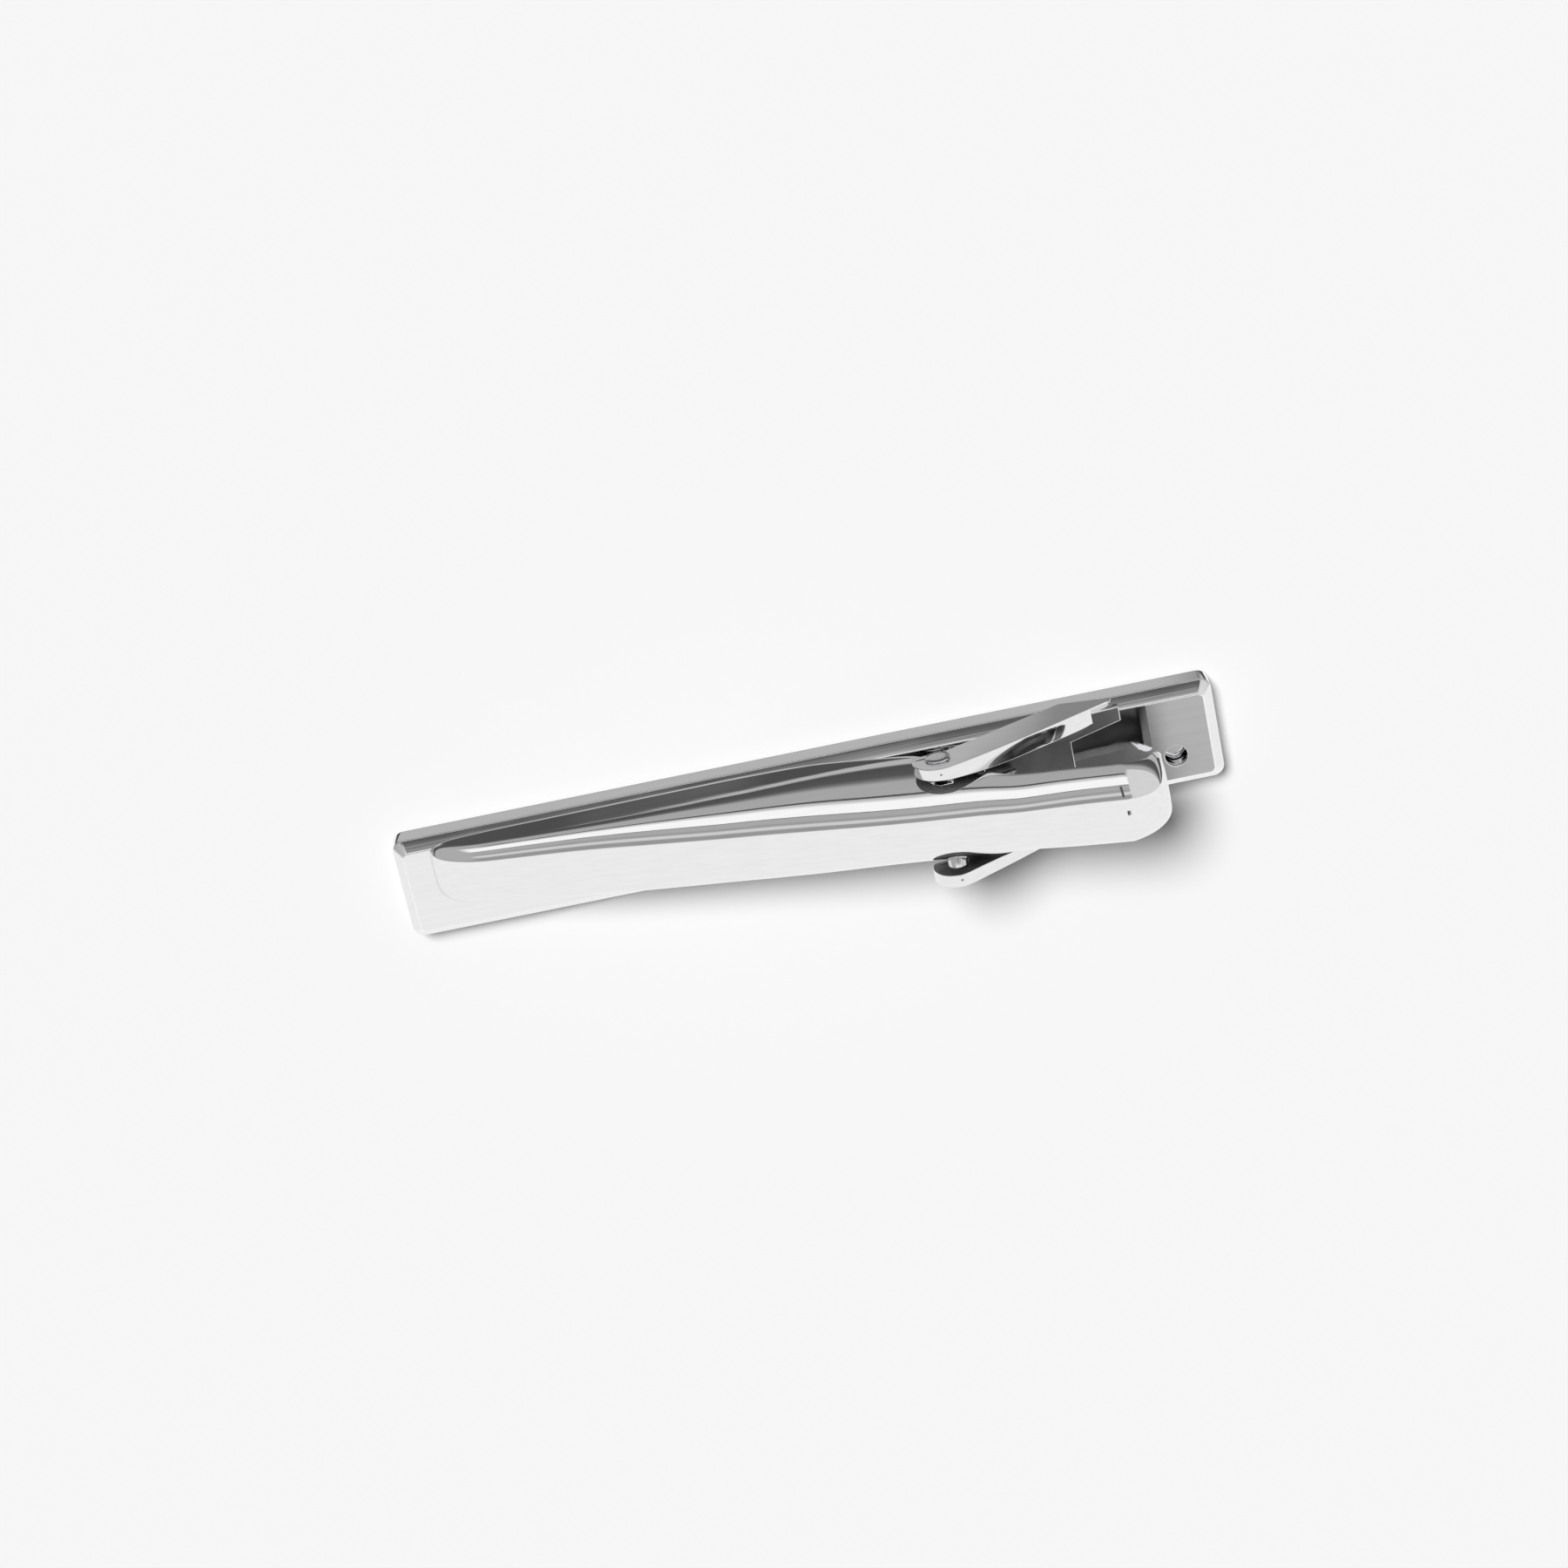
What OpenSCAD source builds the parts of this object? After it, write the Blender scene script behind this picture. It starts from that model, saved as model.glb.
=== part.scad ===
// Spring-clasp tie clip, clasp closed.
// X runs along the bar, Z across its width and -Y out of its back, where the clasp is.

/* [Bar] */
// Length of the bar
bar_length = 50.2; // [48:0.1:60]
// Width of the bar
bar_width = 6.5; // [6.3:0.1:7]
// Depth of the front shell's side walls
shell_depth = 1.4; // [1.2:0.1:2]
// Wall thickness of the front shell
shell_wall = 0.45; // [0.35:0.05:0.6]
// Thickness of the back plate
plate_thick = 0.84; // [0.7:0.02:1]
// How far the back plate's bevel comes in from the side
bevel_in = 0.58; // [0.4:0.02:0.8]
// Flat rim left on the back plate's side below the bevel
bevel_land = 0.08; // [0.05:0.01:0.2]
// Corner radius of the bar in plan
corner_r = 0.7; // [0.4:0.1:1]

/* [Vent hole] */
// Radius of the vent hole
vent_r = 0.67; // [0.5:0.01:0.8]
// Distance of the vent hole from the middle of the bar
vent_x = 22.3; // [21.5:0.1:22.6]
// Height of the vent hole above the middle of the width
vent_z = -1.1; // [-1.2:0.1:1.2]

/* [Hinge] */
// Distance of the pin from the middle of the bar
pin_x = 8.2; // [8:0.05:8.5]
// Height of the pin above the seam between shell and plate
pin_lift = 5.05; // [5:0.01:5.15]
// Radius of the pin
pin_r = 0.6; // [0.5:0.05:0.65]
// Radial clearance between the pin and the arm
pin_play = 0.05; // [0.02:0.01:0.08]
// Radius of the pin's heads
head_r = 0.76; // [0.7:0.01:1]
// Thickness of the pin's heads
head_thick = 0.12; // [0.1:0.01:0.3]

/* [Bracket] */
// Thickness of the bracket's sheet
sheet = 0.6; // [0.5:0.05:0.65]
// Radius of an ear's tip round the pin
ear_tip_r = 1.55; // [1.3:0.05:1.7]
// Distance of the ears' foot from the middle of the bar
foot_x = 19.4; // [19:0.1:19.8]
// Half of the distance across the ears at the foot
foot_half = 3.25; // [3.2:0.01:3.3]
// Half of the distance across the ears at the pin
tip_half = 3.95; // [3.9:0.01:4.1]
// Slope of the web
web_slope = 0.26; // [0.24:0.01:0.27]
// Height of the web's top above the plate at its feet
web_foot = 0.06; // [0.04:0.01:0.1]
// Where the web starts, from the middle of the bar
web_start_x = 10.8; // [10.8:0.1:11.2]
// Where the slot between the feet starts
slot_x = 16.2; // [15.5:0.1:16.8]
// Half of the width of the slot
slot_half = 1.6; // [1.5:0.1:1.8]
// How much wider each side of the slot is at the feet
slot_flare = 0.4; // [0:0.1:0.6]

/* [Arm] */
// Where the jaw ends, from the middle of the bar
jaw_x = -22.9; // [-23.2:0.1:-22]
// Where the thumb end ends
thumb_x = 21.2; // [21:0.1:21.5]
// Wall thickness of the arm
arm_wall = 0.45; // [0.4:0.05:0.5]
// Height of the arm's back above the seam, at the pin
crown_lift = 7.1; // [7:0.05:7.3]
// Rise of the arm's back per millimetre towards the thumb end
arm_rise = 0.149; // [0.147:0.001:0.152]
// Sideways run of the arm per millimetre, so that the jaw sits off centre
arm_skew = 0.038; // [0:0.001:0.04]
// Gap between the closed jaw and the bar
jaw_gap = 0.08; // [0.05:0.01:0.1]

/* [Spring] */
// Wire radius of the spring
wire_r = 0.18; // [0.14:0.01:0.2]
// Radius of the coil to the middle of the wire
coil_r = 0.95; // [0.92:0.01:1]
// Full turns of the coil, besides its last part turn
coil_turns = 4; // [2:1:4]
// Half of the coil's length along the pin
coil_half = 1.1; // [1:0.1:1.3]

/* [Hidden] */
$fn = 48;
overlap = 0.5;

pin_half = tip_half + head_thick;
// the pin's lower head is the lowest point, and it stands on z = 0
mid_z = pin_half;
// the bar's outer surfaces, as heights above the seam
plate_top = plate_thick;
front_face = -shell_depth;

// the thumb end's rounding
thumb_round = 3.2;
thumb_drop = 2.6;
thumb_narrow = 1.1;
// the jaw's rounding
jaw_round = 2.4;
jaw_drop = 1.35;
jaw_narrow = 0.35;
jaw_narrow_round = 1.1;

// the arm's half width along its length
arm_half_at = [[-22.9, 1.85], [-5, 2.72], [2, 3.02], [7.5, 3.06], [10, 2.93], [13, 2.68], [22, 2.68]];
// height of the rounded part of the arm's section along its length
arch_height_at = [[-22.9, 0.8], [-14, 1.15], [-4, 2.5], [7, 4.2], [11, 3.4], [16, 2.6], [22, 2.4]];
arch_power = 2.35;
arch_steps = 20;
wall_foot = -1;

// How far the outline falls at distance t from an end, round a quarter of an ellipse.
function end_fall(t, length, depth) =
    t >= length ? 0 : depth * (1 - sqrt(max(0, 1 - pow((length - t) / length, 2))));
function arm_mid(x) = -arm_skew * (x - pin_x);
function arm_half(x) = lookup(x, arm_half_at)
    - end_fall(x - jaw_x, jaw_narrow_round, jaw_narrow)
    - end_fall(thumb_x - x, thumb_round, thumb_narrow);
function arm_crown(x) = crown_lift + arm_rise * (x - pin_x)
    - end_fall(x - jaw_x, jaw_round, jaw_drop)
    - end_fall(thumb_x - x, thumb_round, thumb_drop);

stations = concat(
    [for (t = [0, 0.02, 0.08, 0.2, 0.35, 0.55, 0.8]) jaw_x + t * jaw_round],
    [for (t = [0:0.07:0.999]) jaw_x + jaw_round + t * (thumb_x - thumb_round - jaw_x - jaw_round)],
    [for (t = [0.8, 0.55, 0.35, 0.2, 0.08, 0.02, 0]) thumb_x - t * thumb_round]);
crown_max = max([for (x = stations) arm_crown(x)]);
// the box is centred on y = 0
seam_y = (crown_max + front_face) / 2;

function signed_power(value, power) = sign(value) * pow(abs(value), power);
// one section of the arm, thinned by inset: the wall's foot, the rounded back, the other foot
function arm_section(x, inset) =
    let (mid = arm_mid(x), half = arm_half(x) - inset, crown = arm_crown(x) - inset,
         shoulder = arm_crown(x) - lookup(x, arch_height_at))
    concat(
        [[x, -wall_foot, mid + half]],
        [for (i = [0:arch_steps])
            let (angle = 180 * i / arch_steps)
            [x, -(shoulder + (crown - shoulder) * signed_power(sin(angle), 2 / arch_power)),
             mid + half * signed_power(cos(angle), 2 / arch_power)]],
        [[x, -wall_foot, mid - half]]);

// a solid through a list of rings that all have the same number of points
module loft(rings) {
    ring_size = len(rings[0]);
    last = len(rings) - 1;
    sides = [for (r = [0:last - 1]) for (i = [0:ring_size - 1])
        let (a = r * ring_size, j = (i + 1) % ring_size)
        [a + i, a + ring_size + i, a + ring_size + j, a + j]];
    first_cap = [for (i = [0:ring_size - 1]) i];
    last_cap = [for (i = [1:ring_size]) (last + 1) * ring_size - i];
    polyhedron([for (ring = rings) for (p = ring) p], concat(sides, [first_cap, last_cap]));
}

// drawing in heights above the seam: a 2-D shape's second axis is the height off the bar's back
module side_view(low_z, high_z) {
    translate([0, 0, low_z]) linear_extrude(high_z - low_z) mirror([0, 1]) children();
}

// a plan shape, drawn as length and width, from one height above the seam to another
module plan_view(low, high) {
    translate([0, -low, 0]) rotate([90, 0, 0]) linear_extrude(high - low) children();
}

module place() {
    translate([0, seam_y, mid_z]) children();
}

module rounded_rectangle(length, width, radius) {
    square([length - 2 * radius, width], center = true);
    square([length, width - 2 * radius], center = true);
    for (x = [-1, 1], z = [-1, 1])
        translate([x * (length / 2 - radius), z * (width / 2 - radius)]) circle(radius);
}

// a bar's end view with its two outer corners bevelled
function bevelled(width) = [
    [-width / 2, 0], [-width / 2, bevel_land], [bevel_in - width / 2, plate_thick],
    [width / 2 - bevel_in, plate_thick], [width / 2, bevel_land], [width / 2, 0]];

module plate_body() {
    intersection() {
        plan_view(0, plate_thick) rounded_rectangle(bar_length, bar_width, corner_r);
        side_view(-bar_width, bar_width) polygon(bevelled(bar_length));
        rotate([90, 0, 90]) translate([0, 0, -bar_length]) linear_extrude(2 * bar_length)
            polygon([for (p = bevelled(bar_width)) [-p[1], p[0]]]);
    }
}

module front_shell() {
    color("silver") place() difference() {
        plan_view(front_face, 0) rounded_rectangle(bar_length, bar_width, corner_r);
        plan_view(front_face + shell_wall, overlap)
            rounded_rectangle(bar_length - 2 * shell_wall, bar_width - 2 * shell_wall,
                              corner_r - shell_wall / 2);
    }
}

module back_plate() {
    color("gainsboro") place() difference() {
        plate_body();
        translate([vent_x, 0, vent_z]) rotate([90, 0, 0])
            cylinder(h = 4 * plate_thick, r = vent_r, center = true);
    }
}

// The ear's outline: a straight edge by the bar, a tip round the pin and a bowed outer edge.
ear_bow_r = 36;
ear_foot = [foot_x - 0.5, 0.5];
ear_back_angle = 205;
function tip_point(angle) = [pin_x + ear_tip_r * cos(angle), pin_lift + ear_tip_r * sin(angle)];
// points of an arc of the given radius between two points, bowed away from the bar
function bow(from, to, radius, steps) =
    let (mid = (from + to) / 2, chord = to - from, half = norm(chord) / 2,
         normal = [chord[1], -chord[0]] / norm(chord),
         centre = mid - normal * sqrt(radius * radius - half * half),
         start = atan2(from[1] - centre[1], from[0] - centre[0]),
         end = atan2(to[1] - centre[1], to[0] - centre[0]))
    [for (i = [0:steps]) centre + radius * [cos(start + (end - start) * i / steps),
                                            sin(start + (end - start) * i / steps)]];
ear_outline = concat(
    [[15.9, 0.12], [foot_x - 0.3, 0.12]],
    bow(ear_foot, tip_point(66), ear_bow_r, 24),
    [for (angle = [72:6:ear_back_angle + 1]) tip_point(angle)],
    [[8.9, 4.1]]);

ear_splay = atan((tip_half - foot_half) / (foot_x - 0.5 - pin_x));

module ear() {
    // the sheet turns about its outer foot, so that the ears spread towards the pin
    intersection() {
        translate([ear_foot[0], 0, foot_half]) rotate([0, ear_splay, 0])
            translate([-ear_foot[0], 0, 0]) side_view(-sheet, 0) polygon(ear_outline);
        side_view(0, tip_half) translate([-bar_length, -overlap]) square(2 * bar_length);
    }
}

function web_height(x) = plate_top + web_foot - sheet + web_slope * (foot_x - x);
function ear_inside(x) = foot_half - sheet + tan(ear_splay) * (ear_foot[0] - x);

module web() {
    difference() {
        intersection() {
            side_view(-bar_width, bar_width) polygon([
                [web_start_x, web_height(web_start_x)], [foot_x, web_height(foot_x)],
                [foot_x, web_height(foot_x) + sheet], [web_start_x, web_height(web_start_x) + sheet]]);
            plan_view(0, 2 * pin_lift) polygon([
                [web_start_x, -ear_inside(web_start_x) - sheet / 2],
                [foot_x, -ear_inside(foot_x) - sheet / 2],
                [foot_x, ear_inside(foot_x) + sheet / 2],
                [web_start_x, ear_inside(web_start_x) + sheet / 2]]);
        }
        plan_view(0, 2 * pin_lift) polygon([
            [slot_x, -slot_half], [foot_x + overlap, -slot_half - slot_flare],
            [foot_x + overlap, slot_half + slot_flare], [slot_x, slot_half]]);
    }
}

module hinge_bracket() {
    color("silver") place() difference() {
        union() {
            ear();
            mirror([0, 0, 1]) ear();
            web();
        }
        plate_body();
        translate([pin_x, -pin_lift, 0]) cylinder(h = 2 * bar_width, r = pin_r, center = true);
    }
}

module hinge_pin() {
    color("gainsboro") place() translate([pin_x, -pin_lift, 0]) {
        cylinder(h = 2 * tip_half, r = pin_r, center = true);
        for (side = [-1, 1])
            translate([0, 0, side * (tip_half + head_thick / 2)])
                cylinder(h = head_thick, r = head_r, center = true);
    }
}

// The arm seen from the side: its rim follows the bar, rises behind the pin and curls back at the
// thumb end.
rim_back = 40;
jaw_rim = plate_top + jaw_gap;
arm_profile = [
    [jaw_x - overlap, jaw_rim], [-5, jaw_rim], [-1, 1.15], [1.7, 1.45], [4.4, 1.9], [6.6, 2.35],
    [7.6, 2.85], [8.5, 3.55], [9.4, 4.3], [10.5, 5.2], [12, 5.8], [16, 6.5], [19, 7],
    [20.2, 6.3], [20.8, 5.2], [thumb_x + overlap, 4.6], [thumb_x + overlap, rim_back],
    [jaw_x - overlap, rim_back]];

module clamp_arm() {
    color("white") place() difference() {
        intersection() {
            difference() {
                loft([for (x = stations) arm_section(x, 0)]);
                loft([for (x = stations)
                    let (inner = jaw_x + arm_wall
                         + (x - jaw_x) * (thumb_x - jaw_x - 2 * arm_wall) / (thumb_x - jaw_x))
                    [for (p = arm_section(inner, arm_wall)) [p[0], p[1] > 0 ? p[1] + overlap : p[1], p[2]]]]);
            }
            side_view(-2 * bar_width, 2 * bar_width) polygon(arm_profile);
        }
        translate([pin_x, -pin_lift, 0])
            cylinder(h = 3 * bar_width, r = pin_r + pin_play, center = true);
    }
}

// The spring's coil turns round the pin, and its legs press on the web and inside the thumb end.
coil_start = 105;
coil_sweep = 195 + 360 * coil_turns;
coil_steps = 12 * (coil_turns + 1);
function coil_point(t) =
    let (angle = coil_start + coil_sweep * t)
    [pin_x + coil_r * cos(angle), pin_lift + coil_r * sin(angle), coil_half * (2 * t - 1)];
spring_path = concat(
    [[12.2, 6.7, -coil_half]],
    [for (i = [0:coil_steps]) coil_point(i / coil_steps)],
    [[10.1, 3.98, coil_half], [12.6, 2.95, coil_half]]);

function unit(v) = v / norm(v);
function path_direction(path, i) =
    unit(path[min(i + 1, len(path) - 1)] - path[max(i - 1, 0)]);
// the wire's section stays square to its path, with one axis kept as near to Z as it can be
function wire_ring(path, i, radius, sides) =
    let (along = path_direction(path, i), across = unit(cross([0, 0, 1], along)),
         up = cross(along, across))
    [for (s = [0:sides - 1])
        let (p = path[i] + radius * (sin(360 * s / sides) * across + cos(360 * s / sides) * up))
        [p[0], -p[1], p[2]]];

module clasp_spring() {
    color("dimgray") place()
        loft([for (i = [0:len(spring_path) - 1]) wire_ring(spring_path, i, wire_r, 8)]);
}

front_shell();
back_plate();
hinge_bracket();
hinge_pin();
clamp_arm();
clasp_spring();
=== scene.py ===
import math

import bmesh
import bpy
from mathutils import Matrix, Vector


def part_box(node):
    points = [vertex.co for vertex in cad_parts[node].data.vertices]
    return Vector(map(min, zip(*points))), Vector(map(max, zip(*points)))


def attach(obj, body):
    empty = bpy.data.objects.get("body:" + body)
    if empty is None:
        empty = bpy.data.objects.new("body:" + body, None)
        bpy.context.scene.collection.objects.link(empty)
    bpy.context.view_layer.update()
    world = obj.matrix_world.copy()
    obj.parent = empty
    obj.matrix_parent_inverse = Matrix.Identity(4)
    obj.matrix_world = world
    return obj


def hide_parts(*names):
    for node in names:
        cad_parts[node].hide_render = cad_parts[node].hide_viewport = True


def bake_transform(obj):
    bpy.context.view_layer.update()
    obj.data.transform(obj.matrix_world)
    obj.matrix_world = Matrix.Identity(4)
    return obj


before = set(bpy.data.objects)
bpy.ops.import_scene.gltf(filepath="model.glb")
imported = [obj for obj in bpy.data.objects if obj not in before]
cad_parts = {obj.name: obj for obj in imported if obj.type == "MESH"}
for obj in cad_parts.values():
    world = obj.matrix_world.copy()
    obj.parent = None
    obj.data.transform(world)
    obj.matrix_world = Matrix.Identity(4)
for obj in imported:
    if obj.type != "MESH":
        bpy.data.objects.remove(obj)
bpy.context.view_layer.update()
scene = bpy.context.scene
MM = 0.001

# ---------------------------------------------------------------- the bar's own frame
# Shapes are drawn in millimetres: x along the bar, lift off the seam between shell and plate
# (towards the clasp), and across, from the middle of the bar's width.
plate_low, plate_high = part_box("back_plate")
shell_low, shell_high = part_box("front_shell")
pin_low, pin_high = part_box("hinge_pin")
arm_low, arm_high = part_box("clamp_arm")
bracket_low, bracket_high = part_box("hinge_bracket")
SEAM_Y = plate_high.y
MID_Z = (plate_low.z + plate_high.z) / 2
BAR_LENGTH = (plate_high.x - plate_low.x) / MM
BAR_WIDTH = (plate_high.z - plate_low.z) / MM
PLATE_THICK = (plate_high.y - plate_low.y) / MM
SHELL_DEPTH = (shell_high.y - SEAM_Y) / MM
HEAD_R = (pin_high.x - pin_low.x) / 2 / MM
PIN_R = 0.6
PIN_X = (pin_low.x + pin_high.x) / 2 / MM
PIN_LIFT = (SEAM_Y - (pin_low.y + pin_high.y) / 2) / MM
PIN_HALF = (pin_high.z - pin_low.z) / 2 / MM
JAW_X = arm_low.x / MM
THUMB_X = arm_high.x / MM
CROWN_MAX = (SEAM_Y - arm_low.y) / MM
TIP_HALF = (bracket_high.z - bracket_low.z) / 2 / MM
FOOT_X = bracket_high.x / MM


def place(x, lift, across):
    """A point in the bar's frame, in millimetres, as a point in the row frame, in metres."""
    return Vector((x * MM, SEAM_Y - lift * MM, MID_Z + across * MM))


# ---------------------------------------------------------------- mesh helpers
MERGE_DISTANCE = 1e-7
BEVEL_SEGMENTS = 3
HOLE_SEGMENTS = 64
# how far the cutters reach past the solid that they cut
PAST = 1


def new_object(name, mesh):
    obj = bpy.data.objects.new(name, mesh)
    scene.collection.objects.link(obj)
    return obj


def mesh_from(name, points, faces):
    """A mesh with outward normals from points in the bar's frame."""
    mesh = bpy.data.meshes.new(name)
    mesh.from_pydata([place(*p) for p in points], [], faces)
    build = bmesh.new()
    build.from_mesh(mesh)
    bmesh.ops.remove_doubles(build, verts=build.verts, dist=MERGE_DISTANCE)
    bmesh.ops.recalc_face_normals(build, faces=build.faces)
    build.to_mesh(mesh)
    build.free()
    return mesh


def apply_modifiers(obj):
    """Makes the object's modified shape its mesh."""
    depsgraph = bpy.context.evaluated_depsgraph_get()
    mesh = bpy.data.meshes.new_from_object(obj.evaluated_get(depsgraph))
    obj.modifiers.clear()
    obj.data = mesh


def bevel_edges(obj, width, angle):
    """Rounds the edges that are sharper than angle, in degrees, over width, in millimetres."""
    bevel = obj.modifiers.new("bevel", "BEVEL")
    bevel.width = width * MM
    bevel.segments = BEVEL_SEGMENTS
    bevel.limit_method = "ANGLE"
    bevel.angle_limit = math.radians(angle)
    bevel.use_clamp_overlap = True
    apply_modifiers(obj)


def boolean(obj, other, operation):
    """Joins other to obj or cuts it away, and removes other."""
    step = obj.modifiers.new(operation, "BOOLEAN")
    step.operation = operation
    step.solver = "EXACT"
    step.use_self = True
    step.object = other
    apply_modifiers(obj)
    bpy.data.objects.remove(other)


def smooth(obj):
    """Shades the faces smooth, with normals that follow the large ones."""
    for polygon in obj.data.polygons:
        polygon.use_smooth = True
    weighted = obj.modifiers.new("weighted normals", "WEIGHTED_NORMAL")
    weighted.weight = 50
    weighted.keep_sharp = False
    apply_modifiers(obj)


def ring_loft(rings):
    """Points and faces of a closed skin through rings that all have the same number of points."""
    size = len(rings[0])
    points = [p for ring in rings for p in ring]
    faces = []
    for r in range(len(rings) - 1):
        for i in range(size):
            j = (i + 1) % size
            a, b = r * size, (r + 1) * size
            faces.append((a + i, a + j, b + j, b + i))
    last = (len(rings) - 1) * size
    faces.append(tuple(range(size)))
    faces.append(tuple(range(last, last + size)))
    return points, faces


def loft_object(name, rings):
    return new_object(name, mesh_from(name, *ring_loft(rings)))


def circle(x, y, radius, segments):
    """Points round a circle, as pairs."""
    return [(x + radius * math.cos(math.tau * i / segments),
             y + radius * math.sin(math.tau * i / segments)) for i in range(segments)]


def turned(name, profile, segments):
    """A round solid on the pin's axis, from (radius, across) pairs."""
    rings = [[(x, lift, across) for x, lift in circle(PIN_X, PIN_LIFT, radius, segments)]
             for radius, across in profile]
    return loft_object(name, rings)


def pin_cutter(name, radius):
    """A cylinder on the pin's axis, longer than the pin."""
    return turned(name, [(radius, -2 * PIN_HALF), (radius, 2 * PIN_HALF)], HOLE_SEGMENTS)


def smooth_lookup(table, x):
    """A value between the table's (x, value) points, on a curve with no overshoot."""
    if x <= table[0][0]:
        return table[0][1]
    if x >= table[-1][0]:
        return table[-1][1]
    slopes = [(b[1] - a[1]) / (b[0] - a[0]) for a, b in zip(table, table[1:])]
    tangents = [slopes[0]]
    for left, right in zip(slopes, slopes[1:]):
        tangents.append(0 if left * right <= 0 else 2 * left * right / (left + right))
    tangents.append(slopes[-1])
    k = max(i for i in range(len(table) - 1) if table[i][0] <= x)
    (x0, y0), (x1, y1) = table[k], table[k + 1]
    span = x1 - x0
    t = (x - x0) / span
    return ((2 * t**3 - 3 * t**2 + 1) * y0 + (t**3 - 2 * t**2 + t) * span * tangents[k]
            + (3 * t**2 - 2 * t**3) * y1 + (t**3 - t**2) * span * tangents[k + 1])


# ---------------------------------------------------------------- materials
def noise(tree, vector, scale, detail):
    texture = tree.nodes.new("ShaderNodeTexNoise")
    texture.inputs["Scale"].default_value = scale
    texture.inputs["Detail"].default_value = detail
    tree.links.new(vector, texture.inputs["Vector"])
    return texture


def map_range(tree, value, low, high, from_low=0, from_high=1):
    mapped = tree.nodes.new("ShaderNodeMapRange")
    mapped.inputs["From Min"].default_value = from_low
    mapped.inputs["From Max"].default_value = from_high
    mapped.inputs["To Min"].default_value = low
    mapped.inputs["To Max"].default_value = high
    tree.links.new(value, mapped.inputs["Value"])
    return mapped.outputs["Result"]


def bump(tree, height, strength, distance):
    node = tree.nodes.new("ShaderNodeBump")
    node.inputs["Strength"].default_value = strength
    node.inputs["Distance"].default_value = distance
    tree.links.new(height, node.inputs["Height"])
    return node


# sizes of the surface's marks: noise scales are per metre, distances in metres
SMEAR_SCALE, SMEAR_DETAIL, SMEAR_ROUGHNESS = 260, 5, 0.6
SMEAR_RANGE, SMEAR_CONTRAST = (0.3, 0.7), 2.2
WAVE_SCALE, WAVE_DISTANCE = 110, 0.0002
LINE_DETAIL, LINE_DISTANCE = 3, 0.000004
LINE_TINT = (0.94, 1.04)
ALONG_BAR = (60, 4000, 4000)
EVERY_WAY = (2500, 2500, 2500)
ALONG_WIDTH = (3000, 400, 3000)


def metal(name, tone, rough, wave_strength, line_strength, line_scale=ALONG_BAR):
    """Polished metal: smears in its polish, fine buffing lines, and a surface that isn't quite flat."""
    material = bpy.data.materials.new(name)
    material.use_nodes = True
    tree = material.node_tree
    nodes, links = tree.nodes, tree.links
    shader = nodes["Principled BSDF"]
    shader.inputs["Metallic"].default_value = 1
    place_at = nodes.new("ShaderNodeTexCoord").outputs["Object"]

    smear = noise(tree, place_at, SMEAR_SCALE, SMEAR_DETAIL)
    smear.inputs["Roughness"].default_value = SMEAR_ROUGHNESS
    links.new(map_range(tree, smear.outputs["Fac"], rough, rough * SMEAR_CONTRAST, *SMEAR_RANGE),
              shader.inputs["Roughness"])

    stretch = nodes.new("ShaderNodeMapping")
    stretch.inputs["Scale"].default_value = line_scale
    links.new(place_at, stretch.inputs["Vector"])
    lines = noise(tree, stretch.outputs["Vector"], 1, LINE_DETAIL)
    colour = nodes.new("ShaderNodeVectorMath")
    colour.operation = "SCALE"
    colour.inputs[0].default_value = tone
    links.new(map_range(tree, lines.outputs["Fac"], *LINE_TINT), colour.inputs["Scale"])
    links.new(colour.outputs["Vector"], shader.inputs["Base Color"])

    wave = noise(tree, place_at, WAVE_SCALE, 1)
    wave_bump = bump(tree, wave.outputs["Fac"], wave_strength, WAVE_DISTANCE)
    line_bump = bump(tree, lines.outputs["Fac"], line_strength, LINE_DISTANCE)
    links.new(wave_bump.outputs["Normal"], line_bump.inputs["Normal"])
    links.new(line_bump.outputs["Normal"], shader.inputs["Normal"])
    return material


SILVER = (0.89, 0.89, 0.9)
FRONT_METAL = metal("polished_front", SILVER, 0.02, 0.1, 0.15)
BACK_METAL = metal("polished_back", SILVER, 0.025, 0.08, 0.15)
ARM_METAL = metal("polished_arm", SILVER, 0.02, 0.25, 0.15)
BRACKET_METAL = metal("polished_bracket", (0.87, 0.87, 0.88), 0.04, 0.3, 0.3)
PIN_METAL = metal("riveted_pin", (0.8, 0.8, 0.81), 0.09, 0.3, 0.5, EVERY_WAY)
WORN_EDGE = metal("worn_edge", (0.97, 0.97, 0.97), 0.22, 0.1, 0.3)
# a dark grey base colour, which is painted shade, for the arm's hollow and rim and for the bracket's
# web and the ears' inner faces; its higher roughness is a dull finish
DULL_PAINTED_SHADE_METAL = metal("dull_painted_shade", (0.2, 0.2, 0.2), 0.3, 0.3, 0.4)
SPRING_METAL = metal("drawn_wire", (0.45, 0.45, 0.46), 0.2, 0.1, 0.6, ALONG_WIDTH)


def finish_piece(obj, material, body, node):
    """Gives a piece its metal and its body, and hides the CAD node that it stands for."""
    obj.data.materials.clear()
    obj.data.materials.append(material)
    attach(obj, body)
    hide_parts(node)


def mark_faces(obj, material, chosen):
    """Gives the faces that chosen picks a second metal."""
    obj.data.materials.append(material)
    for polygon in obj.data.polygons:
        if chosen(polygon):
            polygon.material_index = 1


# ---------------------------------------------------------------- bar: front shell and back plate
CORNER_R = 0.7
CORNER_STEPS = 10
# the corners get tighter as the outline moves in, down to a least radius
CORNER_SHRINK = 0.6
CORNER_R_LEAST = 0.12


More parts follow.
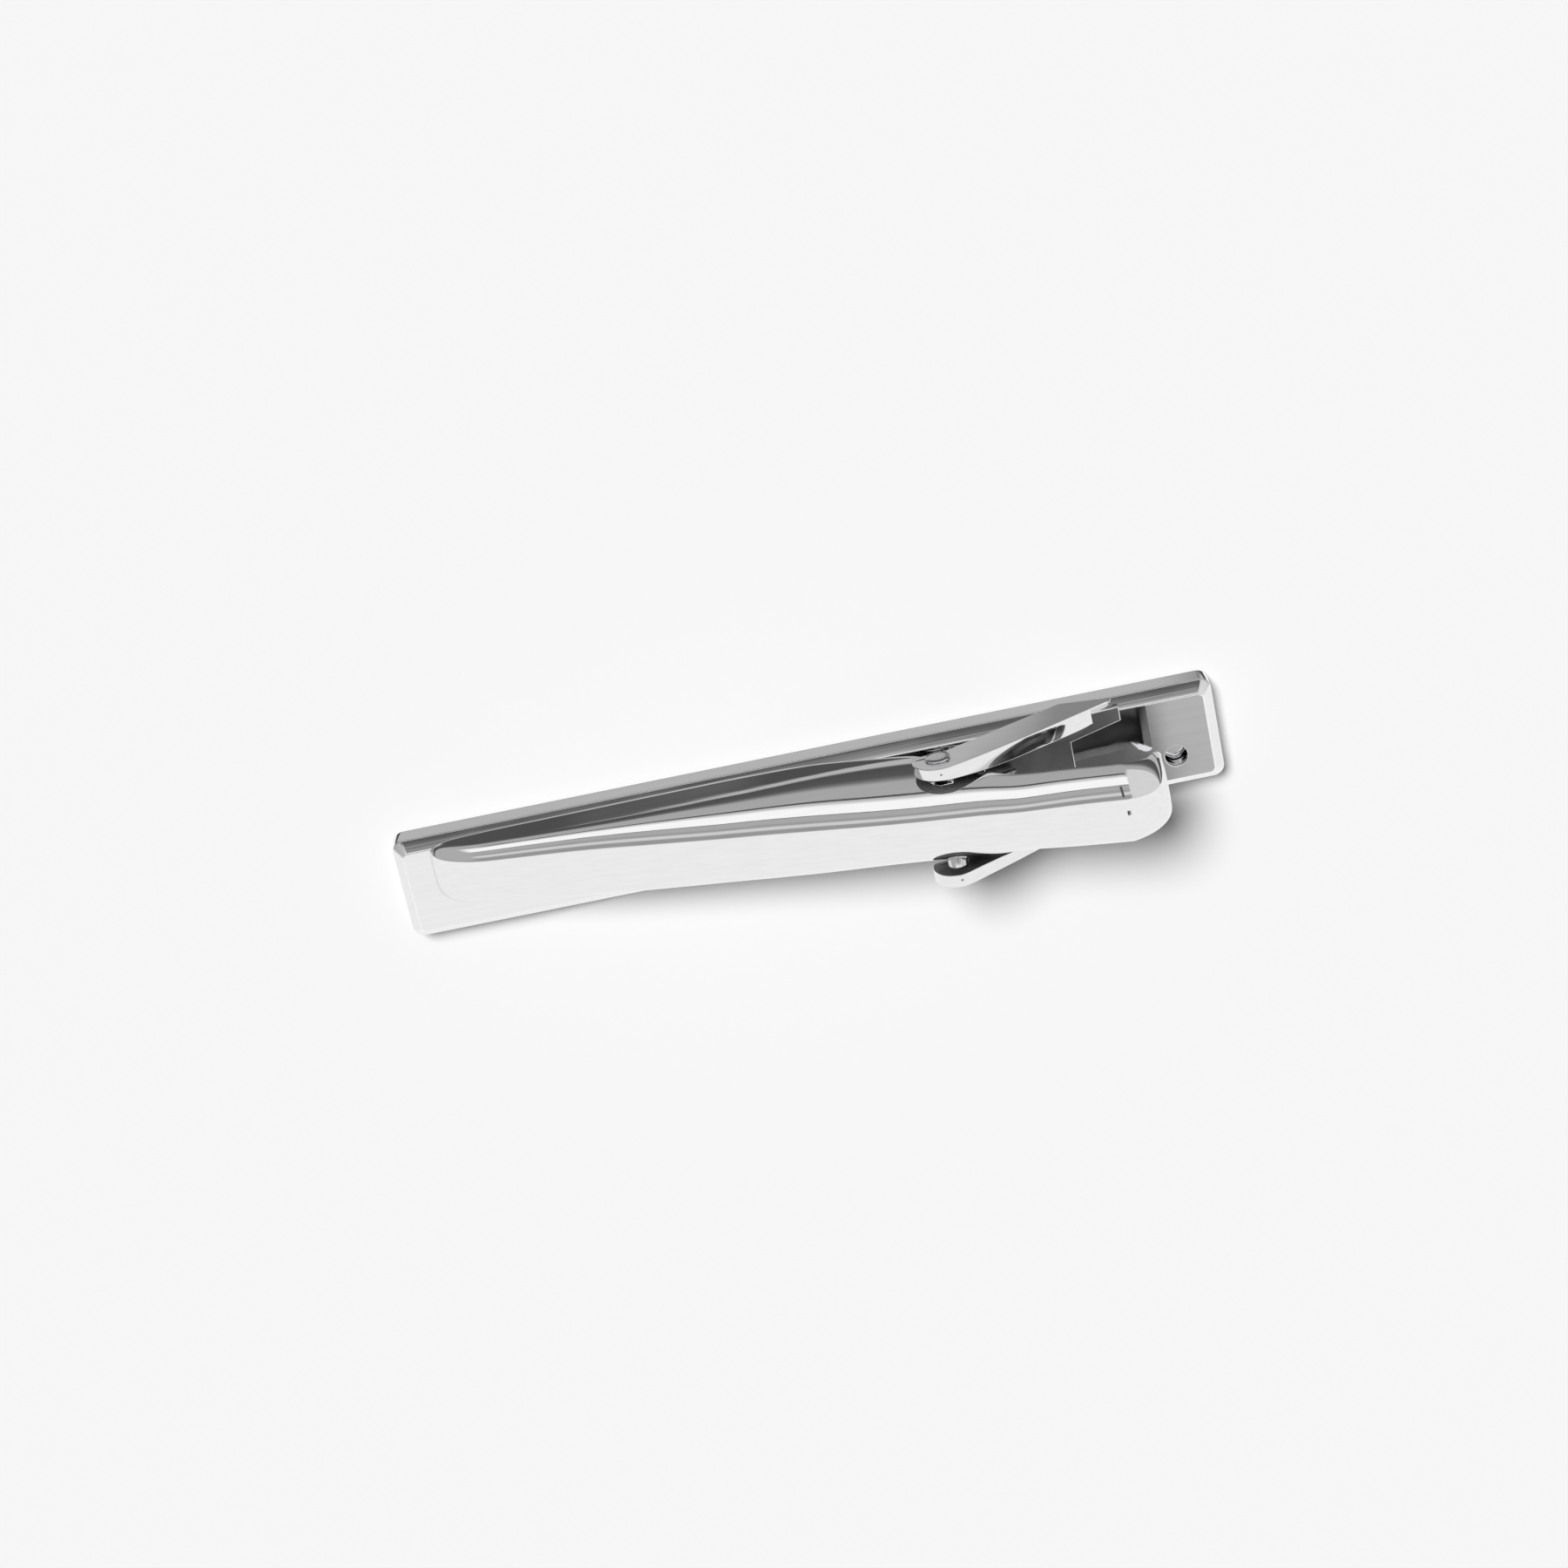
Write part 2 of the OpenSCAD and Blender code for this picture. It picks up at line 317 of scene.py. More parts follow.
def bar_ring(inset, lift):
    """The bar's outline in plan, moved in by inset."""
    half_x = BAR_LENGTH / 2 - inset
    half_w = BAR_WIDTH / 2 - inset
    radius = max(CORNER_R - CORNER_SHRINK * inset, CORNER_R_LEAST)
    ring = []
    for corner, (sx, sw) in enumerate(((1, 1), (-1, 1), (-1, -1), (1, -1))):
        for step in range(CORNER_STEPS + 1):
            angle = math.pi / 2 * (corner + step / CORNER_STEPS)
            ring.append((sx * (half_x - radius) + radius * math.cos(angle), lift,
                         sw * (half_w - radius) + radius * math.sin(angle)))
    return ring


def rounding(inset, lift, radius, start, end, steps=5):
    """(inset, lift) pairs along an arc; angles in degrees from outward."""
    return [(inset - radius * math.cos(math.radians(start + (end - start) * i / steps)),
             lift + radius * math.sin(math.radians(start + (end - start) * i / steps)))
            for i in range(steps + 1)]


SHELL_WALL = 0.45
POCKET_DEPTH = 0.12
SEAM_EDGE_R = 0.05
FRONT_EDGE_R = 0.22
BEVEL_IN = 0.58
BEVEL_LAND = 0.08
BEVEL_EDGE_R = 0.16


def make_front_shell():
    profile = [(SHELL_WALL, -POCKET_DEPTH), (SHELL_WALL, -SEAM_EDGE_R)]
    profile += rounding(SHELL_WALL - SEAM_EDGE_R, -SEAM_EDGE_R, SEAM_EDGE_R, 180, 90)[1:]
    profile += rounding(SEAM_EDGE_R, -SEAM_EDGE_R, SEAM_EDGE_R, 90, 0)
    profile += rounding(FRONT_EDGE_R, FRONT_EDGE_R - SHELL_DEPTH, FRONT_EDGE_R, 0, -90, 8)
    rings = [bar_ring(inset, lift) for inset, lift in profile]
    shell = loft_object("bar_front", rings)
    smooth(shell)
    finish_piece(shell, FRONT_METAL, "bar", "front_shell")


VENT_X = 22.3
VENT_ACROSS = -1.1
VENT_R = 0.67
VENT_EDGE = 0.06


def make_back_plate():
    slope = math.degrees(math.atan2(BEVEL_IN, PLATE_THICK - BEVEL_LAND))
    # the bevel's two corners are rounded: their centres lie a radius in from both faces
    low_reach = BEVEL_EDGE_R * math.tan(math.radians(slope / 2))
    top_reach = BEVEL_EDGE_R * math.tan(math.radians((90 - slope) / 2))
    profile = [(SEAM_EDGE_R, 0)]
    profile += rounding(SEAM_EDGE_R, SEAM_EDGE_R, SEAM_EDGE_R, -60, 0, 3)
    profile += rounding(BEVEL_EDGE_R, max(BEVEL_LAND - low_reach, SEAM_EDGE_R * 1.1),
                        BEVEL_EDGE_R, 0, slope, 4)
    profile += rounding(BEVEL_IN + top_reach, PLATE_THICK - BEVEL_EDGE_R, BEVEL_EDGE_R, slope, 90, 5)
    rings = [bar_ring(inset, lift) for inset, lift in profile]
    plate = loft_object("bar_back", rings)
    vent_profile = [(VENT_R, -PAST), (VENT_R, PLATE_THICK - VENT_EDGE),
                    (VENT_R + VENT_EDGE * 0.4, PLATE_THICK - VENT_EDGE * 0.4),
                    (VENT_R + VENT_EDGE * 1.3, PLATE_THICK + VENT_EDGE * 0.3),
                    (VENT_R + VENT_EDGE * 1.3, PLATE_THICK + PAST)]
    vent_rings = [[(x, lift, across) for x, across in
                   circle(VENT_X, VENT_ACROSS, radius, HOLE_SEGMENTS)]
                  for radius, lift in vent_profile]
    boolean(plate, loft_object("vent_cutter", vent_rings), "DIFFERENCE")
    smooth(plate)
    finish_piece(plate, BACK_METAL, "bar", "back_plate")

    def on_edge(polygon):
        """Whether a face lies on a rounded edge: neither flat, nor upright, nor on the bevel."""
        out = -polygon.normal.y
        return abs(out - math.sin(math.radians(slope))) > 0.05 and 0.06 < out < 0.98

    mark_faces(plate, WORN_EDGE, on_edge)


# ---------------------------------------------------------------- clamp arm
ARM_RISE = 0.149
ARM_SKEW = 0.038
ARM_WALL = 0.45
# the ends' roundings: how long each is, and how far the back drops and the sides come in over it
THUMB_ROUND, THUMB_DROP, THUMB_NARROW, THUMB_CREASE = 2.6, 2.3, 1.1, 0.45
JAW_ROUND, JAW_DROP, JAW_NARROW, JAW_NARROW_ROUND = 3.6, 1.35, 0.5, 1.6
ARCH_POWER = 2.35
# how far the rim stands out from a wall that is at least this high
RIM_FLARE = 0.14
FULL_FLARE_HEIGHT = 1.2
BORE_CLEARANCE = 0.05
ARM_EDGE, ARM_EDGE_ANGLE = 0.09, 55
# tables of (x, value): half the width, the height of the section's rounded part, and the rim's lift
ARM_HALF = [(-22.9, 1.85), (-5, 2.72), (2, 3.02), (7.5, 3.06), (10, 2.93), (13, 2.68), (22, 2.68)]
ARCH_HEIGHT = [(-22.9, 0.8), (-14, 1.15), (-4, 2.5), (7, 4.2), (11, 3.4), (16, 2.6), (22, 2.4)]
JAW_RIM = PLATE_THICK + 0.08
ARM_RIM = [(-23.4, JAW_RIM), (-5, JAW_RIM), (-1, 1.15), (1.7, 1.45), (4.4, 1.9), (6.6, 2.35),
           (7.6, 2.85), (8.5, 3.55), (9.4, 4.3), (10.5, 5.2), (12, 5.8), (16, 6.5), (19, 6.9),
           (20.2, 6.3), (20.8, 5.2), (21.3, 4.6)]
SECTION_POINTS = 56
SECTION_STEPS = 240
JAW_STATIONS, MIDDLE_STATIONS, THUMB_STATIONS = 12, 90, 14
# a face that lies at least this deep under the outer skin is on the hollow's side, which gets painted
# shade
INSIDE_DEPTH = 0.7 * ARM_WALL


def end_fall(distance, length, depth, crease=0):
    """How far the outline falls near an end, round an ellipse; with a crease it starts at a slope."""
    if distance >= length:
        return 0
    part = crease + (1 - crease) * (length - distance) / length
    start = math.sqrt(1 - crease**2)
    return depth * (start - math.sqrt(max(0, 1 - part**2))) / start


# the back's rise is tallest where the thumb end's rounding starts
CROWN_AT_PIN = CROWN_MAX - ARM_RISE * (THUMB_X - THUMB_ROUND - PIN_X)


def arm_mid(x):
    return -ARM_SKEW * (x - PIN_X)


def arm_half(x):
    return (smooth_lookup(ARM_HALF, x) - end_fall(x - JAW_X, JAW_NARROW_ROUND, JAW_NARROW)
            - end_fall(THUMB_X - x, THUMB_ROUND, THUMB_NARROW, THUMB_CREASE))


def arm_crown(x):
    return (CROWN_AT_PIN + ARM_RISE * (x - PIN_X) - end_fall(x - JAW_X, JAW_ROUND, JAW_DROP)
            - end_fall(THUMB_X - x, THUMB_ROUND, THUMB_DROP, THUMB_CREASE))


def arm_section(x, inset):
    """The section's points from one rim over the back to the other, at even steps along it."""
    mid, half, crown = arm_mid(x), arm_half(x) - inset, arm_crown(x) - inset
    shoulder = arm_crown(x) - smooth_lookup(ARCH_HEIGHT, x)
    rim = min(smooth_lookup(ARM_RIM, x), crown - 0.2)
    power = 2 / ARCH_POWER
    curve = []
    for i in range(SECTION_STEPS + 1):
        angle = math.pi * i / SECTION_STEPS
        sine, cosine = math.sin(angle), math.cos(angle)
        curve.append((math.copysign(abs(cosine) ** power, cosine) * half,
                      shoulder + (crown - shoulder) * max(sine, 0) ** power))
    curve = [p for p in curve if p[1] > rim + 1e-4]
    wall_height = max(0, min(shoulder, crown) - rim)
    foot = curve[0][0] + RIM_FLARE * min(1, wall_height / FULL_FLARE_HEIGHT)
    curve = [(foot, rim)] + curve + [(-foot, rim)]
    lengths = [0]
    for a, b in zip(curve, curve[1:]):
        lengths.append(lengths[-1] + math.hypot(b[0] - a[0], b[1] - a[1]))
    section = []
    k = 0
    for i in range(SECTION_POINTS):
        want = lengths[-1] * i / (SECTION_POINTS - 1)
        while k < len(curve) - 2 and lengths[k + 1] < want:
            k += 1
        t = (want - lengths[k]) / (lengths[k + 1] - lengths[k])
        across = curve[k][0] + (curve[k + 1][0] - curve[k][0]) * t
        lift = curve[k][1] + (curve[k + 1][1] - curve[k][1]) * t
        section.append((x, lift, mid + across))
    return section


def inside_arm(polygon):
    """Whether a face of the arm's skin lies on the hollow's side or looks at the bar: these faces get
    painted shade.
    """
    if polygon.normal.y > 0.6:
        return True
    point = polygon.center
    x, lift, across = point.x / MM, (SEAM_Y - point.y) / MM, (point.z - MID_Z) / MM
    if not JAW_X + INSIDE_DEPTH < x < THUMB_X - INSIDE_DEPTH:
        return False
    shoulder = arm_crown(x) - smooth_lookup(ARCH_HEIGHT, x)
    half, height = arm_half(x) - INSIDE_DEPTH, arm_crown(x) - INSIDE_DEPTH - shoulder
    if lift < smooth_lookup(ARM_RIM, x) + 0.12 or half <= 0 or height <= 0:
        return False
    out = max(lift - shoulder, 0) / height
    return (abs(across - arm_mid(x)) / half) ** ARCH_POWER + out**ARCH_POWER < 1


def arm_stations():
    """Places along the arm from 0 to 1, closer together in the two rounded ends."""
    jaw_part, thumb_part = JAW_ROUND / (THUMB_X - JAW_X), THUMB_ROUND / (THUMB_X - JAW_X)
    jaw = [jaw_part * (1 - math.cos(math.pi / 2 * i / JAW_STATIONS)) for i in range(JAW_STATIONS)]
    thumb = [1 - thumb_part * (1 - math.cos(math.pi / 2 * i / THUMB_STATIONS))
             for i in range(THUMB_STATIONS)]
    middle = [jaw_part + (1 - thumb_part - jaw_part) * i / MIDDLE_STATIONS
              for i in range(MIDDLE_STATIONS + 1)]
    return jaw + middle + thumb[::-1]


def make_arm():
    stations = arm_stations()
    outer = [arm_section(JAW_X + t * (THUMB_X - JAW_X), 0) for t in stations]
    inner_length = THUMB_X - JAW_X - 2 * ARM_WALL
    inner = [arm_section(JAW_X + ARM_WALL + t * inner_length, ARM_WALL) for t in stations]
    size = SECTION_POINTS
    points = [p for ring in outer + inner for p in ring]
    inner_start = len(outer) * size
    last = inner_start - size
    faces = []
    # the outer and the inner skin, each with its two ends closed by strips from side to side
    for start in (0, inner_start):
        for r in range(len(outer) - 1):
            for i in range(size - 1):
                a, b = start + r * size, start + (r + 1) * size
                faces.append((a + i, a + i + 1, b + i + 1, b + i))
        for ring in (start, start + last):
            for i in range(size // 2 - 1):
                faces.append((ring + i, ring + i + 1, ring + size - 2 - i, ring + size - 1 - i))
    # the rim joins the two skins
    for i in (0, size - 1):
        for r in range(len(outer) - 1):
            a, b = r * size + i, (r + 1) * size + i
            faces.append((a, b, inner_start + b, inner_start + a))
    for ring in (0, last):
        faces.append((ring, ring + size - 1, inner_start + ring + size - 1, inner_start + ring))
    arm = new_object("clasp_arm", mesh_from("clasp_arm", points, faces))
    bevel_edges(arm, ARM_EDGE, ARM_EDGE_ANGLE)
    boolean(arm, pin_cutter("arm_bore", PIN_R + BORE_CLEARANCE), "DIFFERENCE")
    smooth(arm)
    finish_piece(arm, ARM_METAL, "arm", "clamp_arm")
    # painted shade: the hollow's side and the faces towards the bar get a dark base colour
    mark_faces(arm, DULL_PAINTED_SHADE_METAL, inside_arm)


# ---------------------------------------------------------------- bracket
# the web: its sheet, start, slope and height over the plate at its feet, and its slot, which
# widens towards the feet
SHEET = 0.6
WEB_START_X = 10.8
WEB_SLOPE = 0.26
WEB_FOOT = 0.06
SLOT_X = 16.2
SLOT_HALF = 1.6
SLOT_FLARE = 0.4
# the ears: the round tip, the outline's bow in side view, and the bulge in plan
EAR_TIP_R = 1.55
EAR_BOW_R = 60
EAR_BULGE = 0.14
EAR_FOOT_LIFT, EAR_BASE_LIFT = 0.5, 0.12
EAR_BASE_X = 15.9
EAR_THROAT = (8.9, 4.1)
BOW_STEPS = 30
EAR_EDGE, WEB_EDGE, SHEET_EDGE_ANGLE = 0.045, 0.05, 35
# degrees round the tip, from the bow to the throat
EAR_TIP_START, EAR_TIP_END, EAR_TIP_STEP = 66, 202, 4
FOOT_HALF = 3.25
# tables of (x, thickness) for the upper and the lower ear
UPPER_SHEET = [(6, 0.68), (8.2, 0.78), (10, 0.95), (12, 1.08), (16.5, 1.1), (19.5, 0.8)]
LOWER_SHEET = [(6, 0.8), (9, 0.8), (11, 0.74), (13, 0.67), (19.5, 0.62)]
EAR_FOOT_X = FOOT_X - 0.5
EAR_SPLAY = (TIP_HALF - FOOT_HALF) / (EAR_FOOT_X - PIN_X)


def tip_point(degrees):
    return Vector((PIN_X + EAR_TIP_R * math.cos(math.radians(degrees)),
                   PIN_LIFT + EAR_TIP_R * math.sin(math.radians(degrees))))


def bow(start, end, radius, steps):
    """Points on an arc between two points that bows away from the bar."""
    chord = end - start
    middle = (start + end) / 2
    normal = Vector((chord.y, -chord.x)).normalized()
    centre = middle - normal * math.sqrt(radius**2 - (chord.length / 2) ** 2)
    first = math.atan2(start.y - centre.y, start.x - centre.x)
    last = math.atan2(end.y - centre.y, end.x - centre.x)
    return [centre + radius * Vector((math.cos(first + (last - first) * i / steps),
                                      math.sin(first + (last - first) * i / steps)))
            for i in range(steps + 1)]


def ear_outline():
    outline = [Vector((EAR_BASE_X, EAR_BASE_LIFT)), Vector((FOOT_X - 0.3, EAR_BASE_LIFT))]
    outline += bow(Vector((EAR_FOOT_X, EAR_FOOT_LIFT)), tip_point(EAR_TIP_START), EAR_BOW_R,
                   BOW_STEPS)
    outline += [tip_point(angle) for angle in
                range(EAR_TIP_START + EAR_TIP_STEP, EAR_TIP_END + 1, EAR_TIP_STEP)]
    outline.append(Vector(EAR_THROAT))
    return outline


def ear_across(x):
    """How far the ears' outer faces stand from the middle of the bar's width."""
    t = min(max((x - PIN_X) / (EAR_FOOT_X - PIN_X), 0), 1)
    return min(FOOT_HALF + EAR_SPLAY * (EAR_FOOT_X - x), TIP_HALF) + EAR_BULGE * 4 * t * (1 - t) * t


def make_ear(side):
    outline = ear_outline()
    sheet = UPPER_SHEET if side > 0 else LOWER_SHEET
    rings = [[(p.x, p.y, side * (ear_across(p.x) - depth * smooth_lookup(sheet, p.x)))
              for p in outline] for depth in (0, 1)]
    ear = loft_object("ear", rings)
    bevel_edges(ear, EAR_EDGE, SHEET_EDGE_ANGLE)
    return ear


def web_top(x):
    return PLATE_THICK + WEB_FOOT + WEB_SLOPE * (FOOT_X - x)


def make_web():
    """The sloping sheet between the ears, with the slot that leaves its two feet."""
    start_half = ear_across(WEB_START_X) - SHEET / 2
    foot_half = ear_across(FOOT_X) - SHEET / 2
    rings = []
    for x, half in ((WEB_START_X, start_half), (FOOT_X, foot_half)):
        top = web_top(x)
        rings.append([(x, top - SHEET, -half), (x, top - SHEET, half), (x, top, half), (x, top, -half)])
    web = loft_object("web", rings)
    slot_end = FOOT_X + PAST
    flare = SLOT_FLARE * (slot_end - SLOT_X) / (FOOT_X - SLOT_X)
    slot_rings = [[(SLOT_X, lift, -SLOT_HALF), (slot_end, lift, -SLOT_HALF - flare),
                   (slot_end, lift, SLOT_HALF + flare), (SLOT_X, lift, SLOT_HALF)]
                  for lift in (-PAST, PIN_LIFT + PAST)]
    boolean(web, loft_object("slot_cutter", slot_rings), "DIFFERENCE")
    bevel_edges(web, WEB_EDGE, SHEET_EDGE_ANGLE)
    return web


def make_bracket():
    bracket = make_ear(1)
    bracket.name = "hinge_yoke"
    boolean(bracket, make_web(), "UNION")
    boolean(bracket, make_ear(-1), "UNION")
    # the plate's own shape, so that the bracket stands on it and follows its bevel
    plate_rings = [bar_ring(inset, lift) for inset, lift in
                   ((0, -0.5), (0, BEVEL_LAND), (BEVEL_IN, PLATE_THICK))]
    boolean(bracket, loft_object("plate_cutter", plate_rings), "DIFFERENCE")
    boolean(bracket, pin_cutter("pin_cutter", PIN_R), "DIFFERENCE")
    smooth(bracket)
    finish_piece(bracket, BRACKET_METAL, "bar", "hinge_bracket")

    def painted_shade_on_bracket(polygon):
        """Whether a face gets painted shade: one of the web's two, or one that looks from an ear to the
        other ear.
        """
        on_web = 0.94 < abs(polygon.normal.y) < 0.99 and polygon.center.x > WEB_START_X * MM
        outward = polygon.normal.z if polygon.center.z > MID_Z else -polygon.normal.z
        return on_web or outward < -0.8

    # painted shade: the web and the ears' inner faces get a dark base colour
    mark_faces(bracket, DULL_PAINTED_SHADE_METAL, painted_shade_on_bracket)


# ---------------------------------------------------------------- pin
PIN_SEGMENTS = 72
DOME = 0.02


def make_pin():
    rim = PIN_HALF - DOME
    profile = [(PIN_R, 0), (PIN_R, TIP_HALF), (HEAD_R - 0.03, TIP_HALF), (HEAD_R, TIP_HALF + 0.03),
               (HEAD_R, rim - 0.05), (HEAD_R - 0.02, rim - 0.02), (HEAD_R - 0.07, rim),
               (HEAD_R * 0.6, PIN_HALF - DOME * 0.4), (HEAD_R * 0.25, PIN_HALF)]
    profile = [(radius, -across) for radius, across in profile[:0:-1]] + profile
    pin = turned("rivet_pin", profile, PIN_SEGMENTS)
    smooth(pin)
    finish_piece(pin, PIN_METAL, "bar", "hinge_pin")


# ---------------------------------------------------------------- spring
WIRE_R = 0.18
COIL_R = 0.95
COIL_TURNS = 4
COIL_HALF = 1.1
COIL_START = math.radians(105)
COIL_SWEEP = math.radians(195) + math.tau * COIL_TURNS
WIRE_SEGMENTS = 14
STEPS_IN_TURN, ARM_LEG_STEPS, BAR_LEG_STEPS = 40, 12, 16
# the leg under the arm is straight, and the leg on the web has one bend: (x, lift, across)
ARM_LEG_END = Vector((12.2, 6.7, -COIL_HALF))
BAR_LEG_BEND = Vector((10.1, 3.98, COIL_HALF))
BAR_LEG_END = Vector((12.6, 2.95, COIL_HALF))


def spring_path():
    """The wire's middle line, from the end under the arm to the end on the web."""
    steps = STEPS_IN_TURN * (COIL_TURNS + 1)
    coil = []
    for i in range(steps + 1):
        angle = COIL_START + COIL_SWEEP * i / steps
        coil.append(Vector((PIN_X + COIL_R * math.cos(angle), PIN_LIFT + COIL_R * math.sin(angle),
                            COIL_HALF * (2 * i / steps - 1))))
    arm_leg = [ARM_LEG_END.lerp(coil[0], i / ARM_LEG_STEPS) for i in range(ARM_LEG_STEPS)]
    bar_leg = []
    for i in range(1, BAR_LEG_STEPS + 1):
        t = i / BAR_LEG_STEPS
        bar_leg.append(coil[-1] * (1 - t) ** 2 + BAR_LEG_BEND * 2 * t * (1 - t)
                       + BAR_LEG_END * t**2)
    return arm_leg + coil + bar_leg


def make_spring():
    path = spring_path()
    last = len(path) - 1
    rings = []
    for i, point in enumerate(path):
        along = (path[min(i + 1, last)] - path[max(i - 1, 0)]).normalized()
        side = Vector((0, 0, 1)).cross(along).normalized()
        up = along.cross(side)
        radius = WIRE_R * (0.8 if i in (0, last) else 1)
        rings.append([tuple(point + a * side + b * up)
                      for a, b in circle(0, 0, radius, WIRE_SEGMENTS)])
    spring = loft_object("torsion_spring", rings)
    smooth(spring)
    spring.data.materials.append(SPRING_METAL)
    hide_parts("clasp_spring")
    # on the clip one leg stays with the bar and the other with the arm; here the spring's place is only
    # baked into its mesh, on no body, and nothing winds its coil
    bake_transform(spring)


make_front_shell()
make_back_plate()
make_arm()
make_bracket()
make_pin()
make_spring()


# ---------------------------------------------------------------- camera
CAMERA_AZIMUTH = math.radians(2.35)
CAMERA_ELEVATION = math.radians(25.5)
CAMERA_ROLL = math.radians(12.5)
CAMERA_LENS = 100
SENSOR_WIDTH = 36
CAMERA_DISTANCE = 0.263
# where the middle of the bar stands in the frame, right of and below its centre, in millimetres
LOOK_RIGHT = 1.5
LOOK_DOWN = 1.42


def make_camera():
    data = bpy.data.cameras.new("camera")
    data.lens = CAMERA_LENS
    data.sensor_width = SENSOR_WIDTH
    data.clip_start = 0.01
    camera = new_object("camera", data)
    back = Vector((math.sin(CAMERA_AZIMUTH) * math.cos(CAMERA_ELEVATION),
                   -math.cos(CAMERA_AZIMUTH) * math.cos(CAMERA_ELEVATION),
                   math.sin(CAMERA_ELEVATION)))
    level_right = Vector((0, 0, 1)).cross(back).normalized()
    level_up = back.cross(level_right)
    right = level_right * math.cos(CAMERA_ROLL) - level_up * math.sin(CAMERA_ROLL)
    up = back.cross(right)
    target = place(0, 0, 0) - right * LOOK_RIGHT * MM + up * LOOK_DOWN * MM
    turn = Matrix((right, up, back)).transposed().to_4x4()
    camera.matrix_world = Matrix.Translation(target + back * CAMERA_DISTANCE) @ turn
    scene.camera = camera


# ---------------------------------------------------------------- floor and light
TABLE_RADIUS = 3
TABLE_GAP = 0.01
TABLE_WHITE = 0.88


def make_table():
    """The white table that the clip's front lies on, clear from behind so that it hides nothing."""
    mesh = bpy.data.meshes.new("table")
    build = bmesh.new()
    bmesh.ops.create_circle(build, cap_ends=True, segments=96, radius=TABLE_RADIUS)
    build.to_mesh(mesh)
    build.free()
    table = new_object("table", mesh)
    table.location = (0, shell_high.y + TABLE_GAP * MM, MID_Z)
    table.rotation_euler = (math.radians(90), 0, 0)
    material = bpy.data.materials.new("table")
    material.use_nodes = True
    nodes, links = material.node_tree.nodes, material.node_tree.links
    shader = nodes["Principled BSDF"]
    shader.inputs["Base Color"].default_value = (TABLE_WHITE, TABLE_WHITE, TABLE_WHITE, 1)
    shader.inputs["Roughness"].default_value = 1
    shader.inputs["Specular IOR Level"].default_value = 0
    side = nodes.new("ShaderNodeNewGeometry")
    clear = nodes.new("ShaderNodeBsdfTransparent")
    mix = nodes.new("ShaderNodeMixShader")
    links.new(side.outputs["Backfacing"], mix.inputs["Fac"])
    links.new(shader.outputs["BSDF"], mix.inputs[1])
    links.new(clear.outputs["BSDF"], mix.inputs[2])
    links.new(mix.outputs["Shader"], nodes["Material Output"].inputs["Surface"])
    mesh.materials.append(material)
    table.visible_glossy = False


# What the metal mirrors, by the angle up from the horizon on the clasp's side (0) over the top to
# the horizon on the bar's side (180): cards and soft boxes of a studio, as (degrees, brightness).
# Below the horizon, a white table.
STUDIO = [(-180, 0.93), (-1, 0.93), (0.5, 0.34), (9.5, 0.34), (12, 0.68), (18, 0.68), (20.5, 0.37),
          (25, 0.37), (28, 0.44), (39.4, 0.43), (40.2, 0.08), (41.2, 0.08), (42, 1.04), (65, 1.04),
          (72, 0.62), (80, 0.43), (112, 0.42), (120, 0.2), (127, 0.1), (146, 0.08), (149, 0.5),
          (162, 0.5), (165, 0.08), (180, 0.08)]
# Cards and stands across the studio, which the flat faces and the ends mirror: X part of the
# direction from and to, its softness, degrees up from and to, their softness, and brightness.
CARDS = [(-1.2, -0.5, 0.06, 3, 118, 2, 0.45), (0.4, 1.2, 0.06, -1, 100, 3, 0.72),
         (-0.11, -0.005, 0.01, 6, 37, 1, 0.11), (-0.3, 0.3, 0.02, 77.3, 82.3, 0.5, 0.1),
         (0.06, 0.3, 0.01, 148, 163, 0.6, 0.26), (0.05, 0.14, 0.006, -28, -23, 0.6, 0.5),
         (-0.045, 0.05, 0.006, -28, -23, 0.6, 0.1)]
BRIGHTEST = max(brightness for _, brightness in STUDIO)
# the light tent's even white
TENT_BRIGHTNESS = 0.17
SUN_POWER = 3.43
SUN_ANGLE = math.radians(22)
SUN_TRAVEL = Vector((0.2, 0.8, -0.55))


def soft_step(tree, value, start, end):
    """0 before start, 1 after end, and a smooth step between."""
    step = tree.nodes.new("ShaderNodeMapRange")
    step.interpolation_type = "SMOOTHSTEP"
    step.inputs["From Min"].default_value = start
    step.inputs["From Max"].default_value = end
    tree.links.new(value, step.inputs["Value"])
    return step.outputs["Result"]


def maths(tree, operation, a, b):
    """A maths node on two sockets, the second of which may be a plain number."""
    node = tree.nodes.new("ShaderNodeMath")
    node.operation = operation
    tree.links.new(a, node.inputs[0])
    if isinstance(b, (int, float)):
        node.inputs[1].default_value = b
    else:
        tree.links.new(b, node.inputs[1])
    return node.outputs["Value"]


def grey(brightness):
    """The brightness as a colour, on a scale where the brightest card is white."""
    share = brightness / BRIGHTEST
    return share, share, share, 1


def studio_ramp(tree, angle):
    """The colour that STUDIO gives for an angle in radians."""
    ramp = tree.nodes.new("ShaderNodeValToRGB")
    ramp.color_ramp.interpolation = "LINEAR"
    stops = ramp.color_ramp.elements
    for i, (degrees, brightness) in enumerate(STUDIO):
        stop = stops[i] if i < 2 else stops.new((degrees + 180) / 360)
        stop.position = (degrees + 180) / 360
        stop.color = grey(brightness)
    tree.links.new(map_range(tree, angle, 0, 1, -math.pi, math.pi), ramp.inputs["Fac"])
    return ramp.outputs["Color"]


